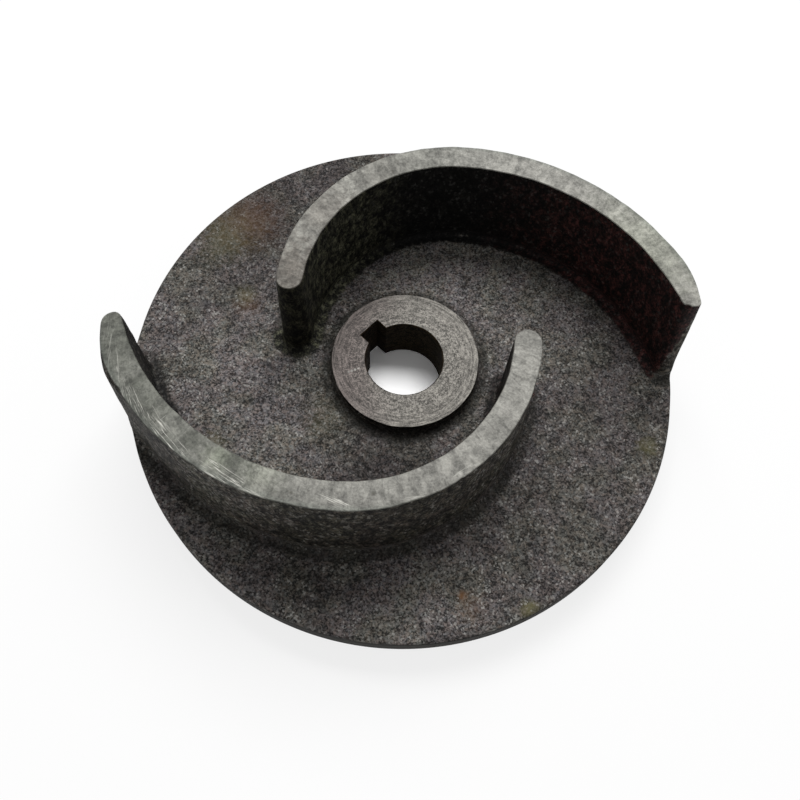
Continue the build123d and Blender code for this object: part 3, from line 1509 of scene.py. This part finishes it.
@dataclass(frozen=True)
class MachinedTop(Finish):
    """A vane's top: machined grey iron, blotched and dulled in places, scored along its outer edge."""

    dark: Colour = (0.072, 0.070, 0.062)
    light: Colour = (0.300, 0.293, 0.262)
    dull: Colour = (0.66, 0.70, 0.66)
    tarnish: Colour = (0.50, 0.52, 0.485)
    rosy: Colour = (0.58, 0.52, 0.49)
    sheen: Colour = (1.28, 1.36, 1.22)
    score: Colour = (0.56, 0.55, 0.50)
    edge_shade: Colour = (0.66, 0.70, 0.68)
    pit: Colour = (0.04, 0.036, 0.024)
    rough: float = 0.55
    roughest: float = 0.66
    metal: float = 0.2
    pitch: float = 0.5
    run: float = 9.0
    dull_share: float = 0.5
    edge_share: float = 0.8
    blotches: Mottle = Mottle(0.3, 3.0, 0.6, 0.34, 0.66)
    chatter: Mottle = Mottle(1.0, 4.0, 0.75, 0.38, 0.62)
    ragged: Ragged = Ragged(0.6, 3.0, 0.6, 1.2)
    pits: tuple[Stain, ...] = stains(
        (-26.3, -42.7, 0.9, 0.8), (-4.8, -44.7, 0.8, 0.8), (-5.8, 39.5, 0.8, 0.7), (-22.0, -45.5, 0.8, 0.6)
    )
    dull_patches: tuple[Stain, ...] = stains(
        (-65.0, -11.0, 24.0, 1.0),
        (-56.0, -28.0, 16.0, 0.9),
        (-66.3, -8.5, 6.5, 1.0),
        (-58.4, -23.2, 6.5, 1.0),
        (-51.4, -36.4, 7.0, 0.9),
        (-44.3, -35.0, 6.5, 0.9),
        (-34.5, -39.6, 7.5, 1.0),
        (-24.0, -45.0, 5.0, 0.35),
        (-2.0, 46.0, 34.0, 0.5),
    )
    sheen_patches: tuple[Stain, ...] = stains(
        (-38.3, -38.6, 5.5, 0.9), (57.0, 22.0, 26.0, 0.6), (-29.0, -41.5, 8.0, 0.5)
    )
    rosy_patches: tuple[Stain, ...] = stains((-28.3, 8.0, 20.0, 1.0), (-21.0, 26.0, 16.0, 0.6), (-9.0, 38.0, 14.0, 0.3))
    knocks: tuple[Stain, ...] = stains((13.4, -39.4, 1.1, 0.55), (14.4, -40.0, 0.8, 0.45))
    bundles: tuple[ScoreBundle, ...] = (
        ScoreBundle(-66.8, -13.5, -88.0, 5.0, 1.4, 0.3),
        ScoreBundle(-64.4, -18.5, -76.0, 5.0, 1.3, 0.4),
        ScoreBundle(-61.0, -23.6, -66.0, 5.5, 1.3, 0.65),
        ScoreBundle(-57.2, -27.6, -58.0, 5.0, 1.4, 0.7),
        ScoreBundle(-49.8, -35.0, -44.0, 7.0, 2.0, 1.0),
        ScoreBundle(-52.6, -31.0, -50.0, 3.6, 1.0, 0.55),
        ScoreBundle(-36.3, -43.0, -30.6, 5.6, 2.2, 1.0),
        ScoreBundle(-30.5, -46.0, -22.0, 4.0, 1.0, 0.6),
        ScoreBundle(-12.7, -47.2, -20.3, 4.0, 1.5, 0.85),
        ScoreBundle(2.6, -44.9, 13.5, 4.4, 1.3, 0.6),
        ScoreBundle(14.5, -38.6, 36.0, 3.4, 1.0, 0.4),
        ScoreBundle(-54.2, -25.9, 47.0, 3.2, 0.5, 0.45),
        ScoreBundle(-49.9, -29.6, 44.0, 3.4, 0.6, 0.5),
        ScoreBundle(-45.4, -32.2, 56.0, 3.2, 0.6, 0.5),
    )
    arc_middle: Colour = (-12.4, 6.0, 0.0)
    outer_arc_middle: Colour = (-12.4, 14.1, 0.0)
    inner_arc_middle: Colour = (-12.4, -4.9, 0.0)
    outer_edge_radius: float = 63.0
    inner_edge_radius: float = 44.0

    def build(self) -> bpy.types.Material:
        """Builds the material.

        Returns:
            The material.
        """
        material, sheet, place = self.start(self.rough, self.metal)
        lines = self.effects.lathe_lines(place, self.pitch, self.run)
        fleck = sheet.noise(place, 1.9, 4.0, 0.7)
        chatter = self.chattered(place)
        share = lines["Lines"] * 0.10 + fleck.window(0.35, 0.65) * 0.26
        share = chatter * 0.32 + (self.blotches.at(place) * 0.38 + share)
        side = (sheet.noise(place, 0.1) * 24.0 + sheet.parts(place)["X"]).window(8.0, -40.0)
        colour = sheet.blend(share, self.dark, self.light).tinted(self.dull, side * self.dull_share)
        colour = colour.tinted(self.edge_shade, self.outer_edge(place) * self.edge_share)
        for tint, marks in (
            (self.tarnish, self.dull_patches),
            (self.sheen, self.sheen_patches),
            (self.rosy, self.rosy_patches),
        ):
            colour = colour.tinted(tint, stained(place, marks))
        scored = sheet.most(self.effects.scores(place, bundle) for bundle in self.bundles)
        colour = colour.under(self.pit, stained(place, self.pits)).under(self.score, scored)
        colour = colour.under(self.score, stained(place, self.knocks))
        height = chatter * 0.02 + (fleck * 0.03 + (scored * -0.02 + lines["Height"]))
        self.dress(sheet, colour, share * -0.16 + self.roughest, height)
        return material

    def outer_edge(self, place: Signal) -> Signal:
        """How near a place is to the vane's outer edge.

        Args:
            place: the place, in mm.

        Returns:
            The nearness, from 0 to 1.
        """
        sheet, front = place.sheet, Effects.folded(place)
        outer = sheet.vector("DISTANCE", front, self.outer_arc_middle) - self.outer_edge_radius
        inner = sheet.vector("DISTANCE", front, self.inner_arc_middle) - self.inner_edge_radius
        return (sheet.math("MINIMUM", outer, inner) + self.ragged.at(place)).window(-1.6, -0.3)

    def chattered(self, place: Signal) -> Signal:
        """The marks that the tool left across the vane.

        Args:
            place: the place, in mm.

        Returns:
            How light a mark is there, from 0 to 1.
        """
        sheet = place.sheet
        across = sheet.vector("NORMALIZE", sheet.vector("SUBTRACT", Effects.folded(place), self.arc_middle))
        return self.chatter.at(sheet.vector("ADD", across.scaled(34.0), sheet.stray(place, 0.5, 2.0, 1.6)))


@dataclass(frozen=True)
class TurnedFace(Finish):
    """A turned face or wall: fine lines round the axis over duller and brighter patches."""

    dark: Colour = (0.048, 0.044, 0.038)
    light: Colour = (0.310, 0.291, 0.256)
    tint: Colour = (0.62, 0.545, 0.56)
    pitch: float = 0.42
    run: float = 4.0
    facing: float = 1.0
    rough: float = 0.6
    metal: float = 0.2
    gloss: float = 0.5
    edge_radius: float = 18.6
    edge_reach: float = 5.0
    grain_size: float = 0.27
    grain_depth: float = 0.05
    nick: Colour = (0.42, 0.41, 0.38)
    nicks: tuple[Stain, ...] = ()

    def build(self) -> bpy.types.Material:
        """Builds the material.

        Returns:
            The material.
        """
        material, sheet, place = self.start(self.rough, self.metal, self.gloss)
        lines = self.effects.lathe_lines(place, self.pitch, self.run, self.facing)
        grain = self.effects.sand_grain(place, self.grain_size, self.grain_depth)
        radius = sheet.vector("LENGTH", sheet.flat(place))
        edge = radius.window(self.edge_radius - self.edge_reach, self.edge_radius) * 0.28 + 0.32
        share = lines["Lines"] * edge + grain["Tone"].window(0.12, 0.88) * (1.0 - edge)
        side = (sheet.noise(place, 0.12) * 10.0 + sheet.parts(place)["X"]).window(8.0, -10.0)
        colour = sheet.blend(share, self.dark, self.light).tinted(self.tint, side)
        colour = colour.under(self.nick, stained(place, self.nicks))
        rough = share * -0.15 + (self.rough + 0.08)
        self.dress(sheet, colour, rough, lines["Height"] + grain["Height"])
        return material


@dataclass(frozen=True)
class TurnedWall(TurnedFace):
    """A turned wall round the axis, dull and dark."""

    dark: Colour = (0.016, 0.0153, 0.0135)
    light: Colour = (0.062, 0.059, 0.054)
    tint: Colour = (0.9, 0.9, 0.9)
    pitch: float = 0.5
    facing: float = 0.0
    rough: float = 0.8
    metal: float = 0.0
    gloss: float = 0.2


HUB_NICKS = stains((-14.0, -4.7, 0.5, 0.5), (-13.2, -4.3, 0.6, 0.7), (-12.4, -3.9, 0.6, 0.8), (-11.6, -3.5, 0.5, 0.6))


@dataclass(frozen=True)
class Paper:
    """The studio's white sweep, lit a little towards the camera so that it stays white."""

    bounce: Colour = (0.55, 0.55, 0.55)
    colour: Colour = (1.5, 1.5, 1.5)
    white: Colour = (1.0, 1.0, 1.0)
    shade: Colour = (0.18, 0.18, 0.18)
    glow: float = 0.80
    under_bore: float = 0.012
    open_floor: float = 0.018

    def build(self) -> bpy.types.Material:
        """Builds the material.

        Returns:
            The material.
        """
        material = bpy.data.materials.new("studio_paper")
        material.use_nodes = True
        sheet = Sheet(material.node_tree)
        sheet.tree.nodes.clear()
        away = sheet.vector("LENGTH", sheet.node("ShaderNodeTexCoord")["Object"])
        path = sheet.node("ShaderNodeLightPath")
        seen = sheet.math("MAXIMUM", path["Is Camera Ray"], path["Is Glossy Ray"])
        paper = sheet.node("ShaderNodeBsdfDiffuse", {"Color": sheet.blend(seen, self.bounce, self.colour)})[0]
        faint = sheet.node("ShaderNodeBsdfDiffuse", {"Color": self.shade})[0]
        glow = sheet.node("ShaderNodeEmission", {"Color": self.white, "Strength": self.glow})[0]
        lit = sheet.node("ShaderNodeAddShader", {0: faint, 1: glow})[0]
        share = seen * away.window(self.under_bore, self.open_floor)
        mixed = sheet.node("ShaderNodeMixShader", {0: share, 1: paper, 2: lit})[0]
        sheet.node("ShaderNodeOutputMaterial", {"Surface": mixed})
        return material


@dataclass
class Studio:
    """Camera, floor and lights."""

    camera_place: tuple[float, float, float] = (-0.0002, -0.1045, 0.22945)
    pitch: float = 1.07424
    heading: float = 0.03217
    roll: float = 0.08941
    lens: float = 41.54
    sensor_width: float = 36.0
    shift_x: float = -0.025
    shift_y: float = -0.10
    floor_reach: float = 6.0
    room_light: float = 0.35
    lamp_size: tuple[float, float] = (0.8, 0.6)
    lamp_energy: float = 13.0
    lamp_place: tuple[float, float, float] = (0.04, 0.60, 0.95)

    def build(self) -> None:
        """Sets up the camera, the floor and the lights."""
        self.aim_camera()
        self.lay_floor()
        self.hang_lights()
        bpy.context.scene.view_settings.view_transform = "Standard"

    def aim_camera(self) -> None:
        """Places the camera."""
        data = bpy.data.cameras.new("camera")
        data.lens = self.lens
        data.sensor_width = self.sensor_width
        data.shift_x, data.shift_y = self.shift_x, self.shift_y
        camera = placed("camera", data)
        level = math.cos(self.pitch)
        ahead = Vector((math.sin(self.heading) * level, math.cos(self.heading) * level, -math.sin(self.pitch)))
        right = ahead.cross(Vector((0, 0, 1))).normalized()
        up = right.cross(ahead)
        tilted_right = math.cos(self.roll) * right + math.sin(self.roll) * up
        tilted_up = -math.sin(self.roll) * right + math.cos(self.roll) * up
        turn = Matrix((tilted_right, tilted_up, -ahead)).transposed().to_4x4()
        camera.matrix_world = Matrix.Translation(self.camera_place) @ turn
        bpy.context.scene.camera = camera

    def lay_floor(self) -> None:
        """Lays the floor."""
        mesh = bpy.data.meshes.new("floor")
        reach = self.floor_reach
        corners = [(-reach, -reach, 0), (reach, -reach, 0), (reach, reach, 0), (-reach, reach, 0)]
        mesh.from_pydata(corners, [], [(0, 1, 2, 3)])
        floor = placed("floor", mesh)
        mesh.materials.append(Paper().build())

    def hang_lights(self) -> None:
        """Hangs the lamps and lights the room."""
        world = bpy.data.worlds.new("room")
        bpy.context.scene.world = world
        world.use_nodes = True
        sky = world.node_tree.nodes["Background"]
        sky.inputs["Color"].default_value = (1, 1, 1, 1)
        sky.inputs["Strength"].default_value = self.room_light
        lamp = bpy.data.lights.new("main_lamp", "AREA")
        lamp.shape = "RECTANGLE"
        lamp.size, lamp.size_y = self.lamp_size
        lamp.energy = self.lamp_energy
        holder = placed("main_lamp", lamp)
        holder.location = self.lamp_place
        holder.rotation_euler = (Vector((0, 0, 0)) - holder.location).to_track_quat("-Z", "Y").to_euler()


def main() -> None:
    """Builds the impeller, dresses it and sets up the studio."""
    logging.basicConfig(level=logging.INFO, format="%(name)s: %(message)s")
    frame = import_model()
    low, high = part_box("impeller")
    bore = next(m for m in frame["record"]["mounts"] if m["name"] == "bore")
    casting = ImpellerCasting(
        rim_radius=round((high.x - low.x) / 2 / MM, 3),
        vane_top=round(high.z / MM, 3),
        bore_radius=bore["dims"]["r_mm"],
        hub_front=bore["dims"]["length_mm"],
    ).build()
    effects = Effects()
    finishes: dict[Surface, Finish] = {
        Surface.CAST_SKIN: CastSkin("cast_skin", effects),
        Surface.VANE_TOP: MachinedTop("machined_top", effects),
        Surface.HUB_FACE: TurnedFace("turned_face", effects, nicks=HUB_NICKS),
        Surface.TURNED_RIM: TurnedWall("turned_rim", effects),
        Surface.BORE: TurnedWall(
            "bore_wall",
            effects,
            dark=(0.002, 0.0012, 0.0006),
            light=(0.042, 0.029, 0.014),
            tint=(0.6, 0.52, 0.42),
            gloss=0.1,
        ),
    }
    for surface in Surface:
        casting.data.materials.append(finishes[surface].build())
    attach(casting, "root")
    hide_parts("impeller")
    Studio().build()


if __name__ == "__main__":
    main()
